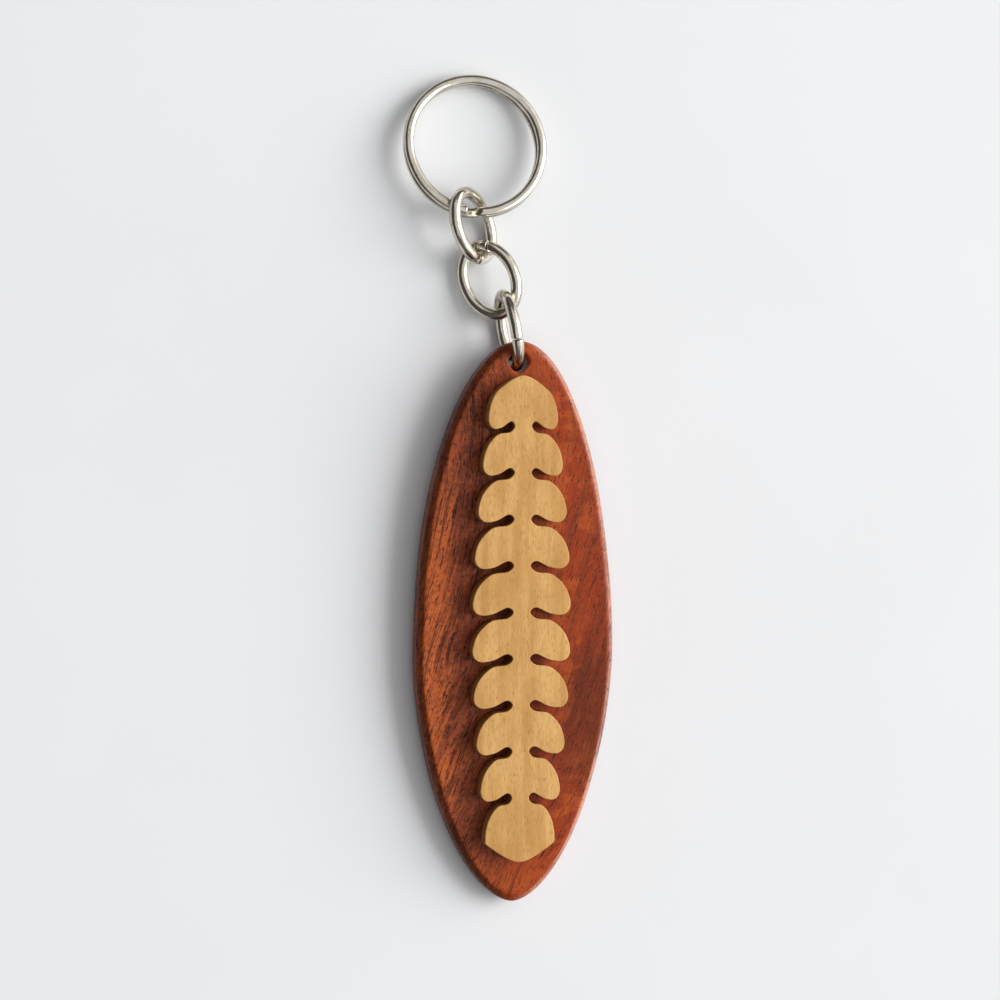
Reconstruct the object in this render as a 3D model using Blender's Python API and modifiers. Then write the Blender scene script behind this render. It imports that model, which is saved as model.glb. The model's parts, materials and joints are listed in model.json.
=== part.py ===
"""Wooden keychain: a lens-shaped tablet with a sawn sprig, three oval links and a split ring.

It lies on a table. +Z is up, +Y runs along the tablet towards the ring, and the
origin is on the table under the middle of the whole object.
"""

from math import asin, cos, pi, radians, sin, tau

import bmesh
import bpy
from mathutils import Matrix, Vector

MM = 0.001

# Tablet
TABLET_LENGTH = 95.65 * MM
TABLET_WIDTH = 35.0 * MM
TABLET_THICKNESS = 5.0 * MM
HEAD_LENGTH = 53.05 * MM  # from the widest place to the ring's end
HEAD_FULLNESS = 1.95  # superellipse exponents of the two ends
TAIL_FULLNESS = 1.76
HEAD_LEAN = 0.6 * MM  # the hand-cut head sits a little to the right
TABLET_CHAMFER = 1.05 * MM
TABLET_POINTS = 96
CHAMFERED_CORNER = radians(60)  # sharper corners of the outline plate than this are chamfered
HOLE_FROM_HEAD = 3.65 * MM
HOLE_RADIUS = 1.7 * MM
HOLE_FLARE = 0.9 * MM
HOLE_SIDES = 32

# Sprig sawn from light wood and glued to the tablet's face
SPRIG_THICKNESS = 3.0 * MM
SPRIG_FROM_HOLE = 2.25 * MM
SPRIG_LENGTH = 82.3 * MM
STEM_HALF_WIDTH = 1.5 * MM
LEAF_PAIRS = 10
FIRST_LEAF = 4.6 * MM  # from the sprig's head
LEAF_PITCH = 7.85 * MM
LEAF_WIDTH = 6.5 * MM
LEAF_DROOP = 1.7 * MM  # how far the tips hang towards the tail
SHORTEST_LEAF = 5.6 * MM  # the end pairs' reach from the stem's middle
LONGEST_LEAF = 8.6 * MM
SPLINE_STEPS = 3

# Oval links of round wire
WIRE_RADIUS = 1.03 * MM
LINK_HALF_LENGTH = 6.1 * MM  # of the wire's centre line
LINK_HALF_WIDTH = 4.4 * MM
SEAM_GAP = 0.2 * MM
LINK_POINTS = 36
WIRE_BEND_STEPS = 6  # between the quarters of the wire's round section

# Split ring, two turns of flattened wire
RING_OUTER_RADIUS = 12.5 * MM
COIL_WIDTH = 1.7 * MM
COIL_HEIGHT = 1.28 * MM
COIL_CORNER = 0.45 * MM
COIL_PITCH = 1.43 * MM
CROSSING_ANGLE = radians(16)  # where the wire climbs from one coil to the other
LOWER_END_ANGLE = radians(-84)  # where the lower coil starts, just past the crossing
RING_STEPS_PER_TURN = 60

REST_GAP = 0.3 * MM  # between the sprig and the tablet that it lies on

SAME_PLACE = 0.001 * MM  # vertices closer than this are one
FLAT_ANGLE = radians(0.5)  # faces that meet at less than this are one

# Where the pieces lie, measured from the hole's foot on the table
OBJECT_SHIFT = Vector((0.73, 21.305, 0.0)) * MM
TABLET_LIFT = LINK_HALF_WIDTH + WIRE_RADIUS  # of the plate's middle at the hole, propped by the first link
SEAT_IN_HOLE = 0.53 * MM  # how far the first link's wire sits behind the hole's middle
LINK_POSES = (  # of the first, second and third link
    {"yaw": radians(10.8), "roll": pi / 2, "pitch": 0.0},
    {"yaw": radians(22.4), "roll": radians(-26.8), "pitch": radians(-6.7)},
    {"yaw": radians(32.3), "roll": radians(33.9), "pitch": radians(21.7)},
)
SECOND_LINK_CENTRE = Vector((-4.05, 14.17, 3.66)) * MM
THIRD_LINK_CENTRE = Vector((-7.1, 23.23, 4.46)) * MM
RING_CENTRE = Vector((-6.46, 36.89, 3.18)) * MM
RING_PITCH = radians(-8.6)

# A leaf's edge from its upper to its lower root: share of the way out, of the width and of the droop
LEAF_EDGE = (
    (0.15, -0.47, 0.1),
    (0.55, -0.50, 0.5),
    (0.88, -0.26, 0.9),
    (1.00, 0.12, 1.2),
    (0.84, 0.38, 1.1),
    (0.50, 0.49, 0.6),
    (0.15, 0.46, 0.1),
)


def clear_scene():
    for obj in list(bpy.data.objects):
        bpy.data.objects.remove(obj, do_unlink=True)


def new_collection(name):
    collection = bpy.data.collections.new(name)
    bpy.context.scene.collection.children.link(collection)
    return collection


def new_material(name, colour, roughness, metallic):
    material = bpy.data.materials.new(name)
    material.use_nodes = True
    shader = material.node_tree.nodes["Principled BSDF"]
    shader.inputs["Base Color"].default_value = (*colour, 1.0)
    shader.inputs["Roughness"].default_value = roughness
    shader.inputs["Metallic"].default_value = metallic
    return material


def new_empty(name, location, parent, collection):
    empty = bpy.data.objects.new(name, None)
    empty.empty_display_size = 3 * MM
    empty.location = location
    empty.parent = parent
    collection.objects.link(empty)
    return empty


def flat_outline(name, outline, thickness, collection):
    """A plate of the closed outline of (x, y) points, half of it above the XY plane and half below."""
    curve = bpy.data.curves.new(name, "CURVE")
    curve.dimensions = "2D"
    curve.fill_mode = "BOTH"
    curve.extrude = thickness / 2
    spline = curve.splines.new("POLY")
    spline.points.add(len(outline) - 1)
    for point, (x, y) in zip(spline.points, outline):
        point.co = (x, y, 0.0, 1.0)
    spline.use_cyclic_u = True
    obj = bpy.data.objects.new(name, curve)
    collection.objects.link(obj)
    return obj


def open_wire(name, points, collection):
    """A curve object through the points, with flat cut ends, for a section to be given to it."""
    curve = bpy.data.curves.new(name, "CURVE")
    curve.dimensions = "3D"
    curve.use_fill_caps = True
    spline = curve.splines.new("POLY")
    spline.points.add(len(points) - 1)
    for point, place in zip(spline.points, points):
        point.co = (*place, 1.0)
    obj = bpy.data.objects.new(name, curve)
    collection.objects.link(obj)
    return obj


def as_mesh(obj, collection):
    """The plate as a mesh object with one face on its front and one on its back."""
    name = obj.name
    bpy.context.view_layer.update()
    graph = bpy.context.evaluated_depsgraph_get()
    mesh = bpy.data.meshes.new_from_object(obj.evaluated_get(graph))
    place = obj.matrix_world.copy()
    bpy.data.objects.remove(obj, do_unlink=True)
    work = bmesh.new()
    work.from_mesh(mesh)
    bmesh.ops.remove_doubles(work, verts=work.verts, dist=SAME_PLACE)
    bmesh.ops.dissolve_limit(work, angle_limit=FLAT_ANGLE, verts=work.verts, edges=work.edges)
    bmesh.ops.recalc_face_normals(work, faces=work.faces)
    work.to_mesh(mesh)
    work.free()
    made = bpy.data.objects.new(name, mesh)
    made.matrix_world = place
    collection.objects.link(made)
    return made


def cut(obj, cutter):
    cutter.hide_render = True
    cutter.display_type = "WIRE"
    boolean = obj.modifiers.new(cutter.name, "BOOLEAN")
    boolean.operation = "DIFFERENCE"
    boolean.solver = "EXACT"
    boolean.object = cutter


def tablet_outline():
    """Two half superellipses that meet at the widest place, round the hole's middle at (0, 0)."""
    tail_length = TABLET_LENGTH - HEAD_LENGTH
    widest = HOLE_FROM_HEAD - HEAD_LENGTH
    outline = []
    for step in range(TABLET_POINTS):
        angle = tau * step / TABLET_POINTS
        length, fullness = tail_length, TAIL_FULLNESS
        if sin(angle) > 0:
            length, fullness = HEAD_LENGTH, HEAD_FULLNESS
        across = abs(cos(angle)) ** (2 / fullness) * (1 if cos(angle) > 0 else -1)
        along = abs(sin(angle)) ** (2 / fullness) * (1 if sin(angle) > 0 else -1)
        lean = HEAD_LEAN * max(along, 0.0) ** 4
        outline.append((TABLET_WIDTH / 2 * across + lean, widest + length * along))
    return outline


def leaf_points(side, number):
    """The edge of one leaf; the pairs in the middle of the sprig reach furthest."""
    share = (number + 0.5) / LEAF_PAIRS
    reach = SHORTEST_LEAF + (LONGEST_LEAF - SHORTEST_LEAF) * sin(pi * share)
    from_head = FIRST_LEAF + number * LEAF_PITCH
    points = []
    for far, wide, low in LEAF_EDGE:
        across = STEM_HALF_WIDTH + far * (reach - STEM_HALF_WIDTH)
        points.append(Vector((side * across, -(from_head + wide * LEAF_WIDTH + low * LEAF_DROOP))))
    return points


def side_points(side):
    """The leaves' edges down one side, with the bottom of a cut between each two."""
    points = []
    for number in range(LEAF_PAIRS):
        points += leaf_points(side, number)
        if number + 1 < LEAF_PAIRS:
            between_leaves = FIRST_LEAF + (number + 0.5) * LEAF_PITCH
            points.append(Vector((side * STEM_HALF_WIDTH, -between_leaves)))
    return points


def smooth_loop(points, steps):
    """A Catmull-Rom curve through the points and back to the first."""
    loop = []
    count = len(points)
    for i in range(count):
        before, start, end, after = (points[(i + k) % count] for k in (-1, 0, 1, 2))
        for step in range(steps):
            t = step / steps
            loop.append(
                0.5 * (2 * start + (end - before) * t)
                + 0.5 * (2 * before - 5 * start + 4 * end - after) * t**2
                + 0.5 * (3 * start - before - 3 * end + after) * t**3
            )
    return loop


def sprig_outline():
    left = side_points(-1)[1:-2]
    right = side_points(1)[1:-2]
    head = Vector((0.0, 0.0))
    foot = Vector((0.0, -SPRIG_LENGTH))
    return smooth_loop(left + [foot] + right[::-1] + [head], SPLINE_STEPS)


def make_tablet(parent, parts, cutters, material):
    plate = flat_outline("tablet", tablet_outline(), TABLET_THICKNESS, parts)
    plate.data.materials.append(material)
    tablet = as_mesh(plate, parts)
    tablet.parent = parent
    chamfer = tablet.modifiers.new("chamfer", "BEVEL")
    chamfer.width = TABLET_CHAMFER
    chamfer.segments = 1
    chamfer.limit_method = "ANGLE"
    chamfer.angle_limit = CHAMFERED_CORNER
    chamfer.use_clamp_overlap = False
    half = TABLET_THICKNESS / 2
    flared = HOLE_RADIUS + HOLE_FLARE
    mouth = half + HOLE_FLARE  # the drill's cone goes on past the face
    wide = flared + HOLE_FLARE
    profile = (
        (0.0, mouth),
        (wide, mouth),
        (HOLE_RADIUS, half - HOLE_FLARE),
        (HOLE_RADIUS, HOLE_FLARE - half),
        (wide, -mouth),
        (0.0, -mouth),
    )
    drill_mesh = bpy.data.meshes.new("hole_drill")
    edges = [(i, i + 1) for i in range(len(profile) - 1)]
    drill_mesh.from_pydata([(radius, 0.0, height) for radius, height in profile], edges, [])
    drill = bpy.data.objects.new("hole_drill", drill_mesh)
    cutters.objects.link(drill)
    drill.parent = parent
    screw = drill.modifiers.new("turn", "SCREW")
    screw.steps = HOLE_SIDES
    screw.render_steps = HOLE_SIDES
    screw.use_merge_vertices = True
    screw.merge_threshold = SAME_PLACE
    cut(tablet, drill)
    return tablet


def make_sprig(parent, parts, material):
    plate = flat_outline("sprig", sprig_outline(), SPRIG_THICKNESS, parts)
    plate.data.materials.append(material)
    sprig = as_mesh(plate, parts)
    sprig.parent = parent
    height = TABLET_THICKNESS / 2 + REST_GAP + SPRIG_THICKNESS / 2
    sprig.location = (0.0, -SPRIG_FROM_HOLE, height)
    return sprig


def turned(pose):
    """A link's turn: rolled about its own length, then pitched up, then swung sideways."""
    return (
        Matrix.Rotation(pose["yaw"], 4, "Z")
        @ Matrix.Rotation(pose["pitch"], 4, "X")
        @ Matrix.Rotation(pose["roll"], 4, "Y")
    )


def link_end(centre, pose, side):
    """The wire's middle at the near (-1) or far (+1) end of a link."""
    return centre + side * LINK_HALF_LENGTH * (turned(pose) @ Vector((0.0, 1.0, 0.0)))


def make_link(name, centre, pose, pivot, parts, material):
    """A wire bent to an oval, its butted ends at the middle of one side. Its origin is its near end."""
    seam = SEAM_GAP / 2 / LINK_HALF_LENGTH
    points = []
    for step in range(LINK_POINTS + 1):
        angle = seam + (tau - 2 * seam) * step / LINK_POINTS
        points.append((LINK_HALF_WIDTH * cos(angle), LINK_HALF_LENGTH * (1 + sin(angle)), 0.0))
    link = open_wire(name, points, parts)
    link.data.bevel_depth = WIRE_RADIUS
    link.data.bevel_resolution = WIRE_BEND_STEPS
    link.data.materials.append(material)
    link.parent = pivot
    link.location = link_end(centre, pose, -1) - pivot.location
    link.rotation_mode = "YXZ"
    link.rotation_euler = (pose["pitch"], pose["roll"], pose["yaw"])
    return link


def coil_height(turn):
    """The wire's height over the ring's middle after a turn from 0, its lower end, to nearly two turns."""
    climb = min(max((turn - (tau - CROSSING_ANGLE)) / CROSSING_ANGLE, 0.0), 1.0)
    return COIL_PITCH * (climb * climb * (3 - 2 * climb) - 0.5)


def make_ring(pivot, parts, cutters, material):
    half_width = COIL_WIDTH / 2 - COIL_CORNER
    half_height = COIL_HEIGHT / 2 - COIL_CORNER
    corners = ((1, 1), (-1, 1), (-1, -1), (1, -1))
    section = []
    for quarter, (right, top) in enumerate(corners):
        for part in range(3):
            angle = (quarter + part / 2) * pi / 2
            across = right * half_width + COIL_CORNER * cos(angle)
            up = top * half_height + COIL_CORNER * sin(angle)
            section.append((across, up))
    profile = flat_outline("coil_section", section[::-1], 0.0, cutters)
    profile.data.fill_mode = "NONE"
    profile.hide_render = True
    profile.display_type = "WIRE"

    radius = RING_OUTER_RADIUS - COIL_WIDTH / 2
    whole = 2 * tau - CROSSING_ANGLE
    steps = round(whole / tau * RING_STEPS_PER_TURN)
    points = []
    for step in range(steps + 1):
        turn = whole * step / steps
        angle = LOWER_END_ANGLE + turn
        points.append((radius * cos(angle), radius * sin(angle), coil_height(turn)))
    ring = open_wire("split_ring", points, parts)
    ring.data.twist_mode = "Z_UP"
    ring.data.bevel_mode = "OBJECT"
    ring.data.bevel_object = profile
    ring.data.materials.append(material)
    ring.parent = pivot
    ring.location = RING_CENTRE - pivot.location
    ring.rotation_euler.x = RING_PITCH
    return ring


def ring_contact(link_far_end):
    """The place on the ring's middle circle nearest to the third link's far end."""
    flat = Matrix.Rotation(-RING_PITCH, 4, "X") @ (link_far_end - RING_CENTRE)
    flat.z = 0.0
    flat.normalize()
    flat *= RING_OUTER_RADIUS - COIL_WIDTH / 2
    return RING_CENTRE + Matrix.Rotation(RING_PITCH, 4, "X") @ flat


def main():
    clear_scene()
    parts = new_collection("keychain")
    cutters = new_collection("cutters")
    red_wood = new_material("red_wood", (0.26, 0.045, 0.018), 0.38, 0.0)
    light_wood = new_material("light_wood", (0.66, 0.39, 0.14), 0.5, 0.0)
    nickel = new_material("nickel", (0.78, 0.75, 0.69), 0.16, 1.0)

    table = new_empty("hole_foot", OBJECT_SHIFT, None, parts)
    hole_middle = Vector((0.0, 0.0, TABLET_LIFT))
    tail_reach = TABLET_LENGTH - HOLE_FROM_HEAD - TABLET_CHAMFER
    plate = new_empty("plate_middle", hole_middle, table, parts)
    plate.rotation_euler.x = asin((TABLET_LIFT - TABLET_THICKNESS / 2) / tail_reach)
    make_tablet(plate, parts, cutters, red_wood)
    make_sprig(plate, parts, light_wood)

    first, second, third = LINK_POSES
    forward = turned(first) @ Vector((0.0, 1.0, 0.0))
    first_centre = hole_middle + (LINK_HALF_LENGTH - SEAT_IN_HOLE) * forward
    pivots = {
        "link_1": hole_middle,
        "link_2": link_end(SECOND_LINK_CENTRE, second, -1),
        "link_3": link_end(SECOND_LINK_CENTRE, second, 1),
    }
    links = (
        ("link_1", first_centre, first),
        ("link_2", SECOND_LINK_CENTRE, second),
        ("link_3", THIRD_LINK_CENTRE, third),
    )
    for name, centre, pose in links:
        pivot = new_empty(f"{name}_pivot", pivots[name], table, parts)
        make_link(name, centre, pose, pivot, parts, nickel)
    far_end = link_end(THIRD_LINK_CENTRE, third, 1)
    make_ring(new_empty("ring_pivot", ring_contact(far_end), table, parts), parts, cutters, nickel)


main()
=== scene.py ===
import bpy
import json
import numpy as np
from math import pi, radians, tau
from mathutils import Matrix, Vector


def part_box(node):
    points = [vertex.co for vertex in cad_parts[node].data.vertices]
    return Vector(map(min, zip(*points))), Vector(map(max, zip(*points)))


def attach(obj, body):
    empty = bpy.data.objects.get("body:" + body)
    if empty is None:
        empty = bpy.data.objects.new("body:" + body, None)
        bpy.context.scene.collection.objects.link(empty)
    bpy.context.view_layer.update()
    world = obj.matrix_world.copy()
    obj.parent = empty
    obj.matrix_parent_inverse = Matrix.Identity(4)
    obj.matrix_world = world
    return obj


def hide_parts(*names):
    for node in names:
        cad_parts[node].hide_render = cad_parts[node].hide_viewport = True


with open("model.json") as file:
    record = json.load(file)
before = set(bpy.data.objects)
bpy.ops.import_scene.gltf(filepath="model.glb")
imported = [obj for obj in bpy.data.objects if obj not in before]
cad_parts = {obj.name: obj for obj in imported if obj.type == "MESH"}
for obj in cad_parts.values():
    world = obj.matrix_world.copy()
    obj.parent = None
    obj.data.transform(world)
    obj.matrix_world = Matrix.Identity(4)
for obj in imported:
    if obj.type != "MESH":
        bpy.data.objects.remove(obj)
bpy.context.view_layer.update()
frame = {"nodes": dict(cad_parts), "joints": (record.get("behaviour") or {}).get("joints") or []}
mm = 0.001
jointOf = {joint["child"]: joint for joint in frame["joints"]}
print("frame loaded:", len(frame["nodes"]), "nodes")


cameraSet = {
    "leftwards": 15.0,  # degrees that it stands left of straight above
    "distance": 0.430,
    "aim": (-0.00047, -0.002095, 0.0),
    "lens": 89.8,
}


def makeCamera(s):
    lean = radians(s["leftwards"])
    back = Vector((-np.sin(lean), 0.0, np.cos(lean)))  # from the object to the camera
    right = Vector((np.cos(lean), 0.0, np.sin(lean)))
    up = Vector((0.0, 1.0, 0.0))
    camera = bpy.data.objects.new("camera", bpy.data.cameras.new("camera"))
    camera.data.lens = s["lens"]
    camera.data.sensor_width = 36.0
    camera.data.clip_start = 0.01
    turn = Matrix((right, up, back)).transposed().to_4x4()
    camera.matrix_world = Matrix.Translation(Vector(s["aim"]) + s["distance"] * back) @ turn
    bpy.context.scene.collection.objects.link(camera)
    bpy.context.scene.camera = camera


makeCamera(cameraSet)
print("camera made")


def srgb(red, green, blue):
    # colour picked on a 0 to 255 screen scale, as linear light with alpha 1
    share = np.array([red, green, blue]) / 255
    linear = np.where(share <= 0.04045, share / 12.92, ((share + 0.055) / 1.055) ** 2.4)
    return (*[float(v) for v in linear], 1.0)


class Signal:
    # a shader socket that reads like a number
    def __init__(self, graph, socket):
        self.graph = graph
        self.socket = socket

    def maths(self, operation, first, second):
        return self.graph.node("ShaderNodeMath", {"operation": operation}, {0: first, 1: second})

    def __add__(self, other):
        return self.maths("ADD", self, other)

    def __radd__(self, other):
        return self.maths("ADD", other, self)

    def __sub__(self, other):
        return self.maths("SUBTRACT", self, other)

    def __rsub__(self, other):
        return self.maths("SUBTRACT", other, self)

    def __mul__(self, other):
        return self.maths("MULTIPLY", self, other)

    def __rmul__(self, other):
        return self.maths("MULTIPLY", other, self)


class Graph:
    # the node tree of one new material or of the room
    def __init__(self, owner, shader="Principled BSDF"):
        owner.use_nodes = True
        self.owner = owner
        self.tree = owner.node_tree
        self.shader = self.tree.nodes[shader]

    def feed(self, socket, value):
        if isinstance(value, Signal):
            self.tree.links.new(value.socket, socket)
        else:
            socket.default_value = value

    def node(self, kind, settings=None, sockets=None, out=0):
        made = self.tree.nodes.new(kind)
        for key, value in (settings or {}).items():
            setattr(made, key, value)
        for key, value in (sockets or {}).items():
            self.feed(made.inputs[key], value)
        return Signal(self, made.outputs[out])

    def axes(self, spot):
        split = self.node("ShaderNodeSeparateXYZ", {}, {0: spot})
        return [Signal(self, output) for output in split.socket.node.outputs]

    def place(self):
        # x, y and z on the object, in millimetres
        return [axis * 1000.0 for axis in self.axes(self.node("ShaderNodeTexCoord", out="Object"))]

    def vector(self, x, y, z):
        return self.node("ShaderNodeCombineXYZ", {}, {0: x, 1: y, 2: z})

    def noise(self, spot, detail=2.0, roughness=0.5, scale=1.0):
        sockets = {"Vector": spot, "Scale": scale, "Detail": detail, "Roughness": roughness}
        return self.node("ShaderNodeTexNoise", {}, sockets)

    def smooth(self, value, low, high):
        # 0 below low, 1 above high and a smooth step between
        sockets = {0: value, 1: low, 2: high, 3: 0.0, 4: 1.0}
        return self.node("ShaderNodeMapRange", {"interpolation_type": "SMOOTHSTEP"}, sockets)

    def blend(self, first, second, share):
        return self.node("ShaderNodeMix", {"data_type": "RGBA"}, {0: share, 6: first, 7: second}, 2)

    def bump(self, height, strength, distance):
        sockets = {"Height": height, "Strength": strength, "Distance": distance}
        return self.node("ShaderNodeBump", {}, sockets)

    def finish(self, **sockets):
        for name, value in sockets.items():
            self.feed(self.shader.inputs[name.replace("_", " ")], value)
        return self.owner


def newMaterial(name):
    return Graph(bpy.data.materials.new(name))


def meshFromGrid(name, points, closedAround=True, closedAlong=False, poles=None):
    # points[i, j] is a grid: i runs along, j runs round. Quads join each spot to the next of both.
    # poles, the first and the last point, close the two ends with fans of triangles.
    along, around = points.shape[:2]
    i = np.arange(along if closedAlong else along - 1)[:, None]
    j = np.arange(around if closedAround else around - 1)[None, :]
    nextI = (i + 1) % along
    nextJ = (j + 1) % around
    corners = [i * around + j, i * around + nextJ, nextI * around + nextJ, nextI * around + j]
    quads = np.stack([np.broadcast_to(c, (len(i), j.shape[1])) for c in corners], -1).reshape(-1, 4)
    vertices = points.reshape(-1, 3)
    faces = quads.tolist()
    if poles is not None:
        vertices = np.vstack([vertices, poles])
        first = len(vertices) - 2
        ring = np.arange(around)
        following = (ring + 1) % around
        last = (along - 1) * around
        start = np.stack([np.full(around, first), following, ring], 1)
        end = np.stack([np.full(around, first + 1), last + ring, last + following], 1)
        faces += start.tolist() + end.tolist()
    mesh = bpy.data.meshes.new(name)
    mesh.from_pydata(vertices, [], faces)
    mesh.shade_smooth()
    piece = bpy.data.objects.new(name, mesh)
    bpy.context.scene.collection.objects.link(piece)
    return piece


def facesOut(piece):
    # the signed volume of the fans from the origin is positive when the faces look outwards
    mesh = piece.data
    mesh.calc_loop_triangles()
    corners = np.zeros(len(mesh.loop_triangles) * 3, np.int32)
    mesh.loop_triangles.foreach_get("vertices", corners)
    spots = np.zeros(len(mesh.vertices) * 3)
    mesh.vertices.foreach_get("co", spots)
    a, b, c = np.moveaxis(spots.reshape(-1, 3)[corners.reshape(-1, 3)], 1, 0)
    if np.einsum("ij,ij->i", a, np.cross(b, c)).sum() < 0:
        mesh.flip_normals()


def standFor(piece, node, body, material):
    piece.data.materials.append(material)
    facesOut(piece)
    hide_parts(node)
    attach(piece, body)
    print(node, "made:", len(piece.data.vertices), "vertices")


def roundedProfile(corners, radius, steps):
    # the corners joined by straight lines, each inner corner replaced by a quadratic bend that starts
    # and ends the radius away from it
    corners = np.array(corners, float)
    t = np.linspace(0, 1, steps)[:, None]
    path = [corners[:1]]
    for before, corner, after in zip(corners, corners[1:], corners[2:]):
        start = corner + radius * (before - corner) / np.linalg.norm(before - corner)
        end = corner + radius * (after - corner) / np.linalg.norm(after - corner)
        path.append((1 - t) ** 2 * start + 2 * t * (1 - t) * corner + t**2 * end)
    return np.vstack(path + [corners[-1:]])


tabletSet = {
    "length": 95.65 * mm,
    "width": 35.0 * mm,
    "thickness": 5.0 * mm,
    "head": 53.05 * mm,  # from the widest place to the ring's end
    "headFullness": 1.95,
    "tailFullness": 1.76,
    "lean": 0.6 * mm,
    "chamfer": 1.05 * mm,
    "cornerRadius": 0.42 * mm,
    "holeFromHead": 3.65 * mm,
    "holeRadius": 1.66 * mm,
    "rimWear": 0.2 * mm,  # how far the hole's rim is rounded away from the ring
    "ringSideWear": 0.68 * mm,  # and how much more where the link swings and rubs
    "wobble": 0.07 * mm,  # of the hand-sawn outline
    "waviness": 0.012 * mm,  # of the sanded faces
    "sideTrim": 0.12 * mm,  # off the half width, for the wobble
    "headTaper": 1.15,  # how much faster the outline draws in at the ends than at the sides
    "tailTaper": 1.35,
    "rubSpread": 1.4,  # how sharply the rubbed side of the rim begins
    "around": 420,
    "across": 46,
    "bendSteps": 6,
    "wallSteps": 8,
}
holeMiddle = np.array(jointOf["link_1"]["pos_m"])
plateUp = np.array(jointOf["link_1"]["axis"])
plateUp = plateUp / np.linalg.norm(plateUp)
plateAlong = np.cross(plateUp, (1.0, 0.0, 0.0))


def fromPlate(points):
    # x across the tablet, y along it towards the ring and z off its face, measured from the hole's middle
    return holeMiddle + points @ np.array([(1.0, 0.0, 0.0), plateAlong, plateUp])


def tabletOutline(s, t, inset):
    # superellipse |x / a|^n + |y / b|^n = 1, with one b and n towards the ring and others towards the tail
    toHead = np.sin(t) > 0
    fullness = np.where(toHead, s["headFullness"], s["tailFullness"])
    headReach = s["head"] - s["headTaper"] * inset
    tailReach = s["length"] - s["head"] - s["tailTaper"] * inset
    reach = np.where(toHead, headReach, tailReach)
    across = np.sign(np.cos(t)) * np.abs(np.cos(t)) ** (2 / fullness)
    along = np.sign(np.sin(t)) * np.abs(np.sin(t)) ** (2 / fullness)
    lean = s["lean"] * np.maximum(along, 0) ** 4
    waves = np.sin(3 * t + 1) + 0.6 * np.sin(7 * t + 2) + 0.4 * np.sin(12 * t)
    wobble = s["wobble"] * waves * np.abs(np.cos(t))
    x = (s["width"] / 2 - s["sideTrim"] - inset + wobble) * across + lean
    y = s["holeFromHead"] - s["head"] + reach * along
    return np.stack([x, y], -1)


def makeTablet(s):
    t = np.linspace(0, tau, s["around"], endpoint=False)
    half = s["thickness"] / 2
    # the way from the hole to each spot of the edge
    facing = tabletOutline(s, t, 0.0)
    facing = facing / np.linalg.norm(facing, axis=1, keepdims=True)
    rings = []
    # the face: straight lines from the hole's rim to the chamfer, closer together at both
    rubAndSheen = np.clip(facing[:, 1:] * s["rubSpread"] + 1, 0, 1)
    wear = s["rimWear"] + s["ringSideWear"] * rubAndSheen**2
    share = 0.5 - 0.5 * np.cos(np.linspace(0, pi, s["across"]))
    edgeInset = s["chamfer"] + s["cornerRadius"]
    rimEdge = facing * (s["holeRadius"] + wear)
    faceEdge = tabletOutline(s, t, edgeInset)
    for part in share:
        ring = rimEdge + part * (faceEdge - rimEdge)
        x, y = ring[:, 0], ring[:, 1]
        wave = np.sin(x * 310 + 1) * np.sin(y * 140) + 0.5 * np.sin(y * 420 + x * 200)
        lift = half + s["waviness"] * wave * np.sin(pi * part)
        rings.append(np.column_stack([ring, lift]))
    # the chamfers and the wall between them, as insets from the outline and heights
    corners = [(edgeInset, half), (s["chamfer"], half), (0, half - s["chamfer"]), (0, s["chamfer"] - half)]
    corners += [(s["chamfer"], -half), (edgeInset, -half)]
    edge = roundedProfile(corners, s["cornerRadius"] * 0.99, s["bendSteps"])[1:-1]
    for inset, height in edge:
        rings.append(np.column_stack([tabletOutline(s, t, inset), np.full(len(t), height)]))
    for part in share[::-1]:
        ring = rimEdge + part * (faceEdge - rimEdge)
        rings.append(np.column_stack([ring, np.full(len(t), -half)]))
    # the hole: its worn rim is a quarter ellipse that meets the wall
    bend = np.linspace(0, pi / 2, s["wallSteps"])[1:]
    wall = np.linspace(-1, 1, s["wallSteps"])[1:-1]
    turns = [(np.cos(a), -1, np.sin(a)) for a in bend] + [(0, h, 1) for h in wall]
    turns += [(np.cos(a), 1, np.sin(a)) for a in bend[::-1]]
    for out, side, down in turns:
        if abs(side) == 1:
            radius = s["holeRadius"] + wear * (1 - down)
            height = side * (half - wear[:, 0] * (1 - out))
        else:
            radius = np.full_like(wear, s["holeRadius"])
            height = side * (half - wear[:, 0])
        rings.append(np.column_stack([facing * radius, height]))
    return meshFromGrid("tabletBoard", fromPlate(np.array(rings)), closedAlong=True)


sprigSet = {
    # the outline's measures are in millimetres, from the sprig's head and middle
    "length": 82.3,
    "stem": 1.5,  # half the stem's width
    "pairs": 10,
    "firstLeaf": 4.6,
    "pitch": 7.85,
    "leafWidth": 6.5,
    "droop": 1.7,
    "shortest": 5.6,
    "longest": 8.6,
    "curveSteps": 8,
    "bendSteps": 6,
    "thickness": 2.96 * mm,
    "gap": 0.32 * mm,  # over the tablet's face, so that the glue line shows as a thin dark joint
    "fromHole": 2.25 * mm,
    "edgeRadius": 0.16 * mm,
    "spacing": 0.16 * mm,
}
# a leaf's edge from its upper root round to its lower root: shares of the way out, the width
# and the droop
leafEdge = np.array([(0.15, -0.47, 0.1), (0.55, -0.5, 0.5), (0.88, -0.26, 0.9), (1.0, 0.12, 1.2)])
leafEdge = np.vstack([leafEdge, [(0.84, 0.38, 1.1), (0.5, 0.49, 0.6), (0.15, 0.46, 0.1)]])


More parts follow.
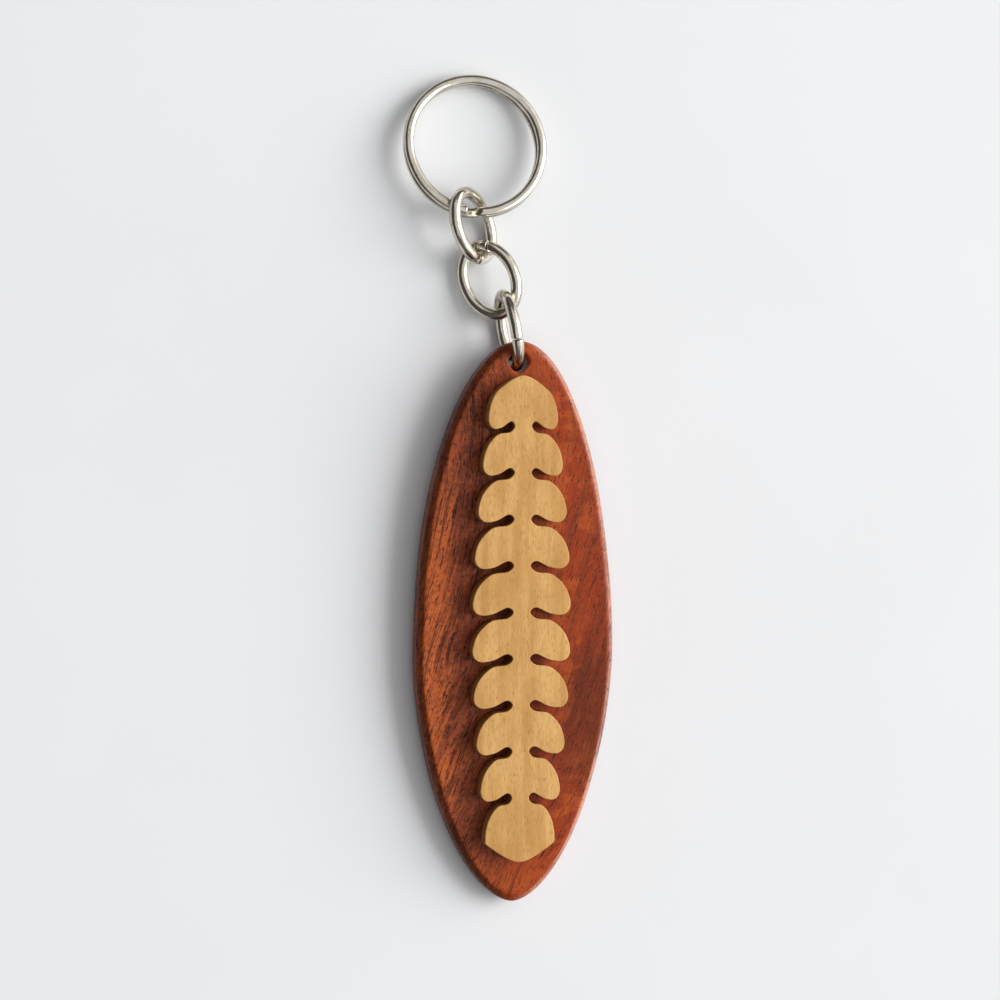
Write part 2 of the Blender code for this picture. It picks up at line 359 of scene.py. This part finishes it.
def sideEdge(s, side):
    # ten even leaves down one side, longest in the middle, with the bottom of a cut between each two
    spots = []
    for number in range(s["pairs"]):
        share = (number + 0.5) / s["pairs"]
        reach = s["shortest"] + (s["longest"] - s["shortest"]) * np.sin(pi * share)
        fromHead = s["firstLeaf"] + number * s["pitch"]
        x = s["stem"] + leafEdge[:, 0] * (reach - s["stem"])
        y = fromHead + leafEdge[:, 1] * s["leafWidth"] + leafEdge[:, 2] * s["droop"]
        spots.append(np.column_stack([side * x, -y]))
        if number + 1 < s["pairs"]:
            spots.append(np.array([(side * s["stem"], -fromHead - s["pitch"] / 2)]))
    return np.vstack(spots)[1:-2]


def catmullRom(points, steps):
    # a closed curve through the points, each span a cubic of its two ends and their neighbours
    before, after, afterNext = np.roll(points, 1, 0), np.roll(points, -1, 0), np.roll(points, -2, 0)
    t = np.linspace(0, 1, steps, endpoint=False)[None, :, None]
    a, b, c, d = (p[:, None, :] for p in (before, points, after, afterNext))
    spans = 2 * b + (c - a) * t + (2 * a - 5 * b + 4 * c - d) * t**2 + (3 * b - a - 3 * c + d) * t**3
    return (0.5 * spans).reshape(-1, 2)


def sprigOutline(s):
    loop = np.vstack([sideEdge(s, -1), [(0, -s["length"])], sideEdge(s, 1)[::-1], [(0, 0)]])
    return catmullRom(loop, s["curveSteps"]) * mm - np.array([0.0, s["fromHole"]])


def evenly(loop, spacing):
    # the closed loop walked again at equal steps
    ends = np.vstack([loop, loop[:1]])
    walked = np.concatenate([[0], np.cumsum(np.linalg.norm(np.diff(ends, axis=0), axis=1))])
    steps = np.linspace(0, walked[-1], int(walked[-1] / spacing), endpoint=False)
    return np.column_stack([np.interp(steps, walked, ends[:, k]) for k in (0, 1)])


def makeSprig(s):
    outline = evenly(sprigOutline(s), s["spacing"])
    ahead = np.roll(outline, -1, 0) - np.roll(outline, 1, 0)
    ahead = ahead / np.linalg.norm(ahead, axis=1, keepdims=True)
    inward = np.column_stack([-ahead[:, 1], ahead[:, 0]])
    # the outline's signed area tells which way round it runs
    x, y = outline[:, 0], outline[:, 1]
    area = np.sum(x * np.roll(y, -1) - np.roll(x, -1) * y)
    inward = inward * np.sign(area)
    bottom = s["gap"] + tabletSet["thickness"] / 2
    top = bottom + s["thickness"]
    flat = 3 * s["edgeRadius"]
    corners = [(flat, top), (0, top), (0, bottom), (flat, bottom)]
    profile = roundedProfile(corners, s["edgeRadius"], s["bendSteps"])[1:-1]
    count = len(outline)
    rings = [np.column_stack([outline + inset * inward, np.full(count, z)]) for inset, z in profile]
    sprig = meshFromGrid("sawnSprig", fromPlate(np.array(rings)))
    mesh = sprig.data
    vertices = np.zeros(len(mesh.vertices) * 3)
    mesh.vertices.foreach_get("co", vertices)
    faces = [list(face.vertices) for face in mesh.polygons]
    faces.append(list(range(count))[::-1])  # the face
    faces.append(list(range((len(rings) - 1) * count, len(rings) * count)))  # the back
    mesh.clear_geometry()
    mesh.from_pydata(vertices.reshape(-1, 3), [], faces)
    mesh.shade_smooth()
    return sprig


linkSet = {
    "wire": 1.03 * mm,
    "halfLength": 6.1 * mm,
    "halfWidth": 4.4 * mm,
    "seamGap": 0.1 * mm,
    "endRounding": 0.16 * mm,
    "stepsAlong": 260,
    "stepsAround": 40,
    "dents": 0.012,  # share of the wire's radius
}
# how each link lies, in degrees, and where its butted ends meet, as an angle round it
linkTurns = {
    "link_1": {"yaw": 10.8, "pitch": 0.0, "roll": 90.0, "seam": 196.0, "slip": 0.05},
    "link_2": {"yaw": 22.4, "pitch": -6.7, "roll": -26.8, "seam": 62.0, "slip": 0.12},
    "link_3": {"yaw": 32.3, "pitch": 21.7, "roll": 33.9, "seam": 232.0, "slip": 0.16},
}


def boxMiddle(node):
    low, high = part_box(node)
    return np.array((low + high) / 2)


def turnMatrix(turns):
    # rolled about its length, then pitched up, then swung sideways
    yaw = Matrix.Rotation(radians(turns.get("yaw", 0.0)), 3, "Z")
    pitch = Matrix.Rotation(radians(turns["pitch"]), 3, "X")
    roll = Matrix.Rotation(radians(turns.get("roll", 0.0)), 3, "Y")
    return np.array(yaw @ pitch @ roll)


endSteps = 8


def endTaper(stepsAlong, length, rounding):
    # shares of the way along a wire, and there its section's share of full size: a quarter circle
    # at both ends
    bend = np.linspace(0, pi / 2, endSteps)[1:]
    near = rounding / length * (1 - np.cos(bend))
    middle = np.linspace(near[-1], 1 - near[-1], stepsAlong)[1:-1]
    share = np.concatenate([near, middle, 1 - near[::-1]])
    size = np.concatenate([np.sin(bend), np.ones(len(middle)), np.sin(bend[::-1])])
    return share, size


def sweep(name, centre, out, side, section, sizes, closing):
    # centre + out * section x + side * section y, with the section scaled by the sizes along the wire
    # and both ends closed to a point
    scaled = section * sizes[..., None]
    grid = centre[:, None] + out[:, None] * scaled[..., :1] + side[:, None] * scaled[..., 1:]
    return meshFromGrid(name, grid, poles=closing)


def addWireMap(piece, alongCount, aroundCount, length, girth):
    # UV in millimetres: u along the wire and v round it, for the lines left by drawing it
    mesh = piece.data
    layer = mesh.uv_layers.new(name="wire")
    corners = np.zeros(len(mesh.loops), np.int32)
    mesh.loops.foreach_get("vertex_index", corners)
    row, column = corners // aroundCount, corners % aroundCount
    u = row / alongCount * length / mm
    v = np.abs(column / aroundCount - 0.5) * girth / mm
    layer.data.foreach_set("uv", np.column_stack([u, v]).ravel().astype(np.float32))


def makeLink(node, s, turns):
    seam = radians(turns["seam"])
    length = pi * (s["halfLength"] + s["halfWidth"])
    gap = s["seamGap"] / s["halfLength"]
    share, size = endTaper(s["stepsAlong"], length, s["endRounding"])
    angle = seam + gap / 2 + (tau - gap) * share
    a, b = s["halfWidth"], s["halfLength"]
    # an ellipse, with the wire's two ends slipped past each other a little
    slip = turns["slip"] * mm * ((1 - share) ** 12 - share**12) / 2
    centre = np.column_stack([a * np.cos(angle), b * np.sin(angle), slip])
    out = np.column_stack([b * np.cos(angle), a * np.sin(angle), np.zeros_like(angle)])
    out = out / np.linalg.norm(out, axis=1, keepdims=True)
    side = np.broadcast_to((0.0, 0.0, 1.0), out.shape)
    aroundWire = np.linspace(0, tau, s["stepsAround"], endpoint=False)
    along = angle[:, None]
    dents = 1 - s["dents"] * (1 + np.sin(5 * along + aroundWire * 2 + seam) * np.sin(3 * along + 1))
    section = s["wire"] * np.stack([np.cos(aroundWire), np.sin(aroundWire)], -1)
    turn = turnMatrix(turns).T
    middle = boxMiddle(node)
    ends = np.array([centre[0], centre[-1]]) @ turn + middle
    name = node.replace("_", "")
    spots = centre @ turn + middle
    link = sweep(name, spots, out @ turn, side @ turn, section, size[:, None] * dents, ends)
    addWireMap(link, len(angle), len(aroundWire), length, tau * s["wire"])
    return link


ringSet = {
    "outerRadius": 12.48 * mm,
    "width": 1.66 * mm,
    "height": 1.26 * mm,
    "squareness": 2.15,  # superellipse exponent of the flattened wire
    "pitch": 1.43 * mm,
    "crossing": 16.0,  # degrees over which the wire climbs
    "lowerEnd": -84.0,
    "tilt": -8.6,
    "stray": 0.05 * mm,  # how far the coils fail to cover each other
    "endRounding": 0.14 * mm,
    "stepsAlong": 620,
    "stepsAround": 40,
}


def makeRing(node, s):
    radius = s["outerRadius"] - s["width"] / 2
    crossing = radians(s["crossing"])
    whole = 2 * tau - crossing
    length = whole * radius
    share, size = endTaper(s["stepsAlong"], length, s["endRounding"])
    turn = whole * share
    angle = radians(s["lowerEnd"]) + turn
    climb = np.clip((turn - (tau - crossing)) / crossing, 0, 1)
    height = s["pitch"] * (climb**2 * (3 - 2 * climb) - 0.5)  # a smooth step from the lower coil to the upper
    reach = radius + s["stray"] * np.sin(2.5 * turn)
    centre = np.column_stack([reach * np.cos(angle), reach * np.sin(angle), height])
    out = np.column_stack([np.cos(angle), np.sin(angle), np.zeros_like(angle)])
    side = np.broadcast_to((0.0, 0.0, 1.0), out.shape)
    aroundWire = np.linspace(0, tau, s["stepsAround"], endpoint=False)
    power = 2 / s["squareness"]
    x = s["width"] / 2 * np.sign(np.cos(aroundWire)) * np.abs(np.cos(aroundWire)) ** power
    y = s["height"] / 2 * np.sign(np.sin(aroundWire)) * np.abs(np.sin(aroundWire)) ** power
    section = np.stack([x, y], -1)
    lean = turnMatrix({"pitch": s["tilt"]}).T
    middle = boxMiddle(node)
    ends = np.array([centre[0], centre[-1]]) @ lean + middle
    spots = centre @ lean + middle
    ring = sweep("splitRing", spots, out @ lean, side @ lean, section, size[:, None], ends)
    addWireMap(ring, len(angle), len(aroundWire), length, 2 * (s["width"] + s["height"]))
    return ring


redWoodSet = {
    "tan": srgb(198, 100, 50),
    "smoky": srgb(142, 66, 38),
    "red": srgb(150, 56, 20),
    "orange": srgb(184, 84, 32),
    "dark": srgb(58, 20, 10),
    "pore": srgb(28, 10, 6),
    "paintedEdgeHighlight": srgb(222, 160, 130),  # painted highlight on the edge that faces the window
    "roughness": 0.34,
}


def makeRedWood(s):
    g = newMaterial("redWood")
    x, y, z = g.place()
    # the grain bends aside, more and more, on its way down the tablet
    down = 20.0 - y
    sway = g.noise(g.vector(x * 0.05, y * 0.03, z * 0.05), 2.0)
    across = x - y * 0.04 + down * down * 0.0030 + sway * 8.0 + z * 0.35
    drift = g.noise(g.vector(x * 0.16, y * 0.05, z * 0.2 + 4.0), 3.0, 0.55)
    bands = g.noise(g.vector(across * 0.42, y * 0.012, z * 0.1), 3.0, 0.6)
    streaks = g.noise(g.vector(across * 1.5, y * 0.05, z * 1.2), 5.0, 0.68)
    threads = g.noise(g.vector(across * 5.0, y * 0.22, z * 3.0), 3.0, 0.6)
    curl = g.noise(g.vector(across * 0.24, y * 0.42, 3.0), 2.0, 0.5)
    mottle = g.noise(g.vector(across * 1.3, y * 1.3, z), 3.0, 0.65)
    # a tan strip along the left edge, a smoky one beside the sprig, then red with orange flares
    leftward = g.smooth(x + (bands - 0.5) * 7.0 + (streaks - 0.5) * 7.0, -12.8, -10.2)
    rightward = g.smooth(x + (drift - 0.5) * 10.0, -5.0, 1.0)
    colour = g.blend(s["tan"], s["smoky"], leftward)
    colour = g.blend(colour, s["red"], rightward)
    flare = g.smooth(drift + (curl - 0.5) * 0.7 + (streaks - 0.5) * 0.4, 0.49, 0.66)
    colour = g.blend(colour, s["orange"], flare * (0.4 + rightward * 0.3))
    headFlare = g.smooth(y + (streaks - 0.5) * 30.0, 13.0, 23.0)
    colour = g.blend(colour, s["orange"], headFlare * 0.6)
    tailFlare = 1.0 - g.smooth(y + (streaks - 0.5) * 20.0, -66.0, -58.0)
    colour = g.blend(colour, s["orange"], tailFlare * 0.45)
    cloudX, cloudY = (x - 14.0) * 0.16, (y + 41.0) * 0.068
    ragged = (drift - 0.5) * 1.6 + (streaks - 0.5) * 2.0
    cloud = 1.0 - g.smooth(cloudX * cloudX + cloudY * cloudY + ragged, 0.15, 1.3)
    colour = g.blend(colour, s["dark"], cloud * 0.55)
    colour = g.blend(colour, s["dark"], g.smooth(bands, 0.5, 0.66) * 0.34)
    colour = g.blend(colour, s["dark"], g.smooth(streaks, 0.51, 0.6) * (0.74 - rightward * 0.44))
    colour = g.blend(colour, s["tan"], g.smooth(threads, 0.52, 0.66) * (0.36 - rightward * 0.2))
    colour = g.blend(colour, s["tan"], g.smooth(1.0 - mottle, 0.52, 0.66) * (0.34 - rightward * 0.3))
    colour = g.blend(colour, s["dark"], g.smooth(1.0 - threads, 0.53, 0.66) * (0.44 - rightward * 0.2))
    colour = g.blend(colour, s["dark"], g.smooth(mottle, 0.5, 0.64) * (0.4 - rightward * 0.2))
    # painted shade on the edge that faces left, away from the window
    facing = g.axes(g.node("ShaderNodeNewGeometry", out="Normal"))
    edge = 1.0 - g.smooth(facing[2], 0.74, 0.97)
    leftEdgeShade = edge * (1.0 - g.smooth(facing[0], -0.5, 0.1))
    colour = g.blend(colour, s["dark"], leftEdgeShade * 0.62)
    # a painted highlight on the edge that faces the window, broken into ragged patches
    rightEdgeHighlight = edge * g.smooth(facing[0], 0.2, 0.6) * g.smooth(facing[2], 0.2, 0.6)
    rubAndSheen = g.smooth(drift + (threads - 0.5) * 0.6, 0.34, 0.58)
    colour = g.blend(colour, s["paintedEdgeHighlight"], rightEdgeHighlight * rubAndSheen * 0.5)
    grit = g.noise(g.vector(x * 7.0, y * 5.0, z * 7.0), 2.0, 0.6)
    colour = g.blend(colour, s["orange"], g.smooth(grit, 0.52, 0.68) * 0.22)
    colour = g.blend(colour, s["dark"], g.smooth(1.0 - grit, 0.53, 0.68) * 0.2)
    # open pores, cut lengthwise into short dashes
    dash = g.noise(g.vector(across * 3.7, y * 0.36, z * 3.0), 2.0, 0.55)
    fleck = g.noise(g.vector(across * 4.2 + 9.0, y * 1.3, z * 4.0), 1.0, 0.5)
    longPores = g.smooth(dash - rightward * 0.035, 0.598, 0.64)
    pores = longPores * 0.8 + g.smooth(fleck - rightward * 0.02, 0.635, 0.68) * 0.8
    colour = g.blend(colour, s["pore"], g.smooth(pores, 0.0, 1.0) * 0.9)
    height = threads * 0.3 - pores * 1.0 - g.smooth(streaks, 0.5, 0.66) * 0.35
    rough = s["roughness"] + (streaks - 0.5) * 0.3 + pores * 0.2
    return g.finish(
        Base_Color=colour,
        Roughness=rough,
        Normal=g.bump(height, 0.5, 0.05 * mm),
        Coat_Weight=0.04 + edge * g.smooth(facing[0], 0.0, 0.3) * 0.9,
        Coat_Roughness=0.22,
        Specular_IOR_Level=0.14,
    )


lightWoodSet = {
    "pale": srgb(220, 174, 106),
    "honey": srgb(196, 144, 78),
    "fleck": srgb(166, 108, 54),
    "sawn": srgb(136, 84, 40),  # the saw's burnt walls, darkened further as painted shade
    "roughness": 0.52,
}


def makeLightWood(s):
    g = newMaterial("lightWood")
    x, y, z = g.place()
    sway = g.noise(g.vector(x * 0.06, y * 0.02, 0.0), 2.0)
    across = x + sway * 4.0 + y * 0.01
    bands = g.noise(g.vector(across * 0.55, y * 0.02, z * 0.5), 3.0, 0.55)
    cloud = g.noise(g.vector(x * 0.22, y * 0.09, z * 0.3 + 7.0), 3.0, 0.5)
    fibre = g.noise(g.vector(across * 6.5, y * 0.5, z * 4.0), 3.0, 0.6)
    colour = g.blend(s["pale"], s["honey"], g.smooth(bands * 0.6 + cloud * 0.5, 0.42, 0.68))
    fleck = g.noise(g.vector(across * 4.6, y * 1.0, z * 2.0), 2.0, 0.6)
    colour = g.blend(colour, s["fleck"], g.smooth(fleck, 0.54, 0.68) * 0.6)
    colour = g.blend(colour, s["honey"], g.smooth(fibre, 0.48, 0.66) * 0.7)
    facing = g.node("ShaderNodeSeparateXYZ", {}, {0: g.node("ShaderNodeNewGeometry", out="Normal")}, 2)
    # the walls are darkened all round: partly the saw's burn, partly painted shade
    wall = 1.0 - g.smooth(facing, 0.05, 0.45)
    scorchAndShade = g.noise(g.vector(x * 1.1, y * 1.1, z * 0.4), 3.0, 0.6)
    colour = g.blend(colour, s["sawn"], wall * (0.55 + scorchAndShade * 0.6))
    sawLines = g.noise(g.vector(x * 4.5, y * 4.5, z * 0.25), 1.0)
    height = fibre * 0.35 - g.smooth(fleck, 0.56, 0.76) * 0.3 + wall * sawLines * 0.8
    rough = s["roughness"] + (fibre - 0.5) * 0.15 + wall * 0.1
    return g.finish(
        Base_Color=colour,
        Roughness=rough,
        Normal=g.bump(height, 0.35, 0.04 * mm),
        Specular_IOR_Level=0.25,
    )


nickelSet = {
    "bright": (0.72, 0.675, 0.59, 1.0),
    "warm": (0.50, 0.445, 0.36, 1.0),
    "grime": (0.10, 0.08, 0.055, 1.0),
    "roughness": 0.1,
}


def makeNickel(s):
    g = newMaterial("nickel")
    x, y, z = g.place()
    u, v = g.axes(g.node("ShaderNodeUVMap", {"uv_map": "wire"}))[:2]
    # lines left along the wire by drawing it, dull haze, and small dents from wear
    drawn = g.noise(g.vector(u * 0.12, v * 3.2, 0.0), 4.0, 0.65)
    haze = g.noise(g.vector(x * 0.3, y * 0.3, z * 0.3), 3.0, 0.55)
    dents = g.noise(g.vector(x * 0.8, y * 0.8, z * 0.8), 1.0, 0.5)
    specks = g.noise(g.vector(x * 3.4, y * 3.4, z * 3.4), 2.0, 0.6)
    colour = g.blend(s["bright"], s["warm"], g.smooth(haze * 0.6 + drawn * 0.5, 0.48, 0.66) * 0.75)
    colour = g.blend(colour, s["grime"], g.smooth(specks + (haze - 0.5) * 0.6, 0.66, 0.76) * 0.6)
    rough = s["roughness"] + g.smooth(haze, 0.42, 0.7) * 0.12 + g.smooth(drawn, 0.5, 0.7) * 0.08
    height = drawn * 0.8 + dents * 0.8 + g.smooth(specks, 0.64, 0.74) * -0.15
    return g.finish(
        Base_Color=colour,
        Metallic=1.0,
        Roughness=rough,
        Normal=g.bump(height, 0.35, 0.06 * mm),
    )


redWood = makeRedWood(redWoodSet)
lightWood = makeLightWood(lightWoodSet)
nickel = makeNickel(nickelSet)
print("finishes made")
standFor(makeTablet(tabletSet), "tablet", "tablet", redWood)
standFor(makeSprig(sprigSet), "sprig", "tablet", lightWood)
for node, turns in linkTurns.items():
    standFor(makeLink(node, linkSet, turns), node, node, nickel)
standFor(makeRing("split_ring", ringSet), "split_ring", "split_ring", nickel)


studioSet = {
    "floor": (0.81, 0.822, 0.84, 1.0),
    "floorShade": (0.77, 0.775, 0.79, 1.0),
    "floorReach": 15.0,
    "floorHeight": -0.00002,  # just under what lies on it
    "windowPower": 47.0,
    "windowSize": (1.6, 2.0),
    "windowPlace": (1.9, 0.3, 1.44),
    "windowColour": (1.0, 0.985, 0.965),
    "ceiling": (0.76, 0.77, 0.78, 1.0),
    "paleWall": (1.6, 1.6, 1.59, 1.0),  # lit by the window, to the right
    "darkWall": (0.045, 0.036, 0.027, 1.0),  # to the left, which the plating shows as dark lines
    "strength": 1.0,
}


def makeFloor(s):
    side = np.linspace(-s["floorReach"], s["floorReach"], 3)
    grid = np.stack(np.meshgrid(side, side, indexing="ij"), -1)
    points = np.concatenate([grid, np.full((3, 3, 1), s["floorHeight"])], -1)
    floor = meshFromGrid("table", points, closedAround=False)
    g = newMaterial("paleTable")
    x, y, z = g.place()
    speck = g.noise(g.vector(x * 0.02, y * 0.02, 0.0), 3.0)
    shade = g.blend(s["floor"], s["floorShade"], g.smooth(speck, 0.3, 0.7) * 0.3)
    floor.data.materials.append(g.finish(Base_Color=shade, Roughness=0.6, Specular_IOR_Level=0.3))


def makeWindow(s):
    window = bpy.data.lights.new("window", "AREA")
    window.shape = "RECTANGLE"
    window.size, window.size_y = s["windowSize"]
    window.energy = s["windowPower"]
    window.color = s["windowColour"]
    lamp = bpy.data.objects.new("window", window)
    spot = Vector(s["windowPlace"])
    lamp.matrix_world = Matrix.Translation(spot) @ spot.to_track_quat("Z", "Y").to_matrix().to_4x4()
    bpy.context.scene.collection.objects.link(lamp)


def makeRoom(s):
    # radiance by direction: x to the right, y away over the ring's end, z up
    world = bpy.data.worlds.new("studio")
    g = Graph(world, "Background")
    x, y, z = g.axes(g.node("ShaderNodeTexCoord", out="Generated"))
    clutter = g.noise(g.vector(x * 2.2, y * 2.2, z * 3.2), 2.0, 0.55)
    shade = g.blend(s["ceiling"], s["paleWall"], g.smooth(x + (clutter - 0.5) * 0.3, 0.35, 0.7))
    leftward = 1.0 - g.smooth(x + (clutter - 0.5) * 1.0, -0.55, -0.35)
    shade = g.blend(shade, s["darkWall"], leftward * 0.95)
    endward = g.smooth(y * y + (clutter - 0.5) * 1.2, 0.34, 0.5)
    shade = g.blend(shade, s["darkWall"], endward * 0.85)
    low = 1.0 - g.smooth(z, 0.04, 0.3)
    shade = g.blend(shade, s["darkWall"], low * 0.85)
    bpy.context.scene.world = g.finish(Color=shade, Strength=s["strength"])


makeFloor(studioSet)
makeWindow(studioSet)
makeRoom(studioSet)
bpy.context.scene.view_settings.view_transform = "Standard"
print("studio made")
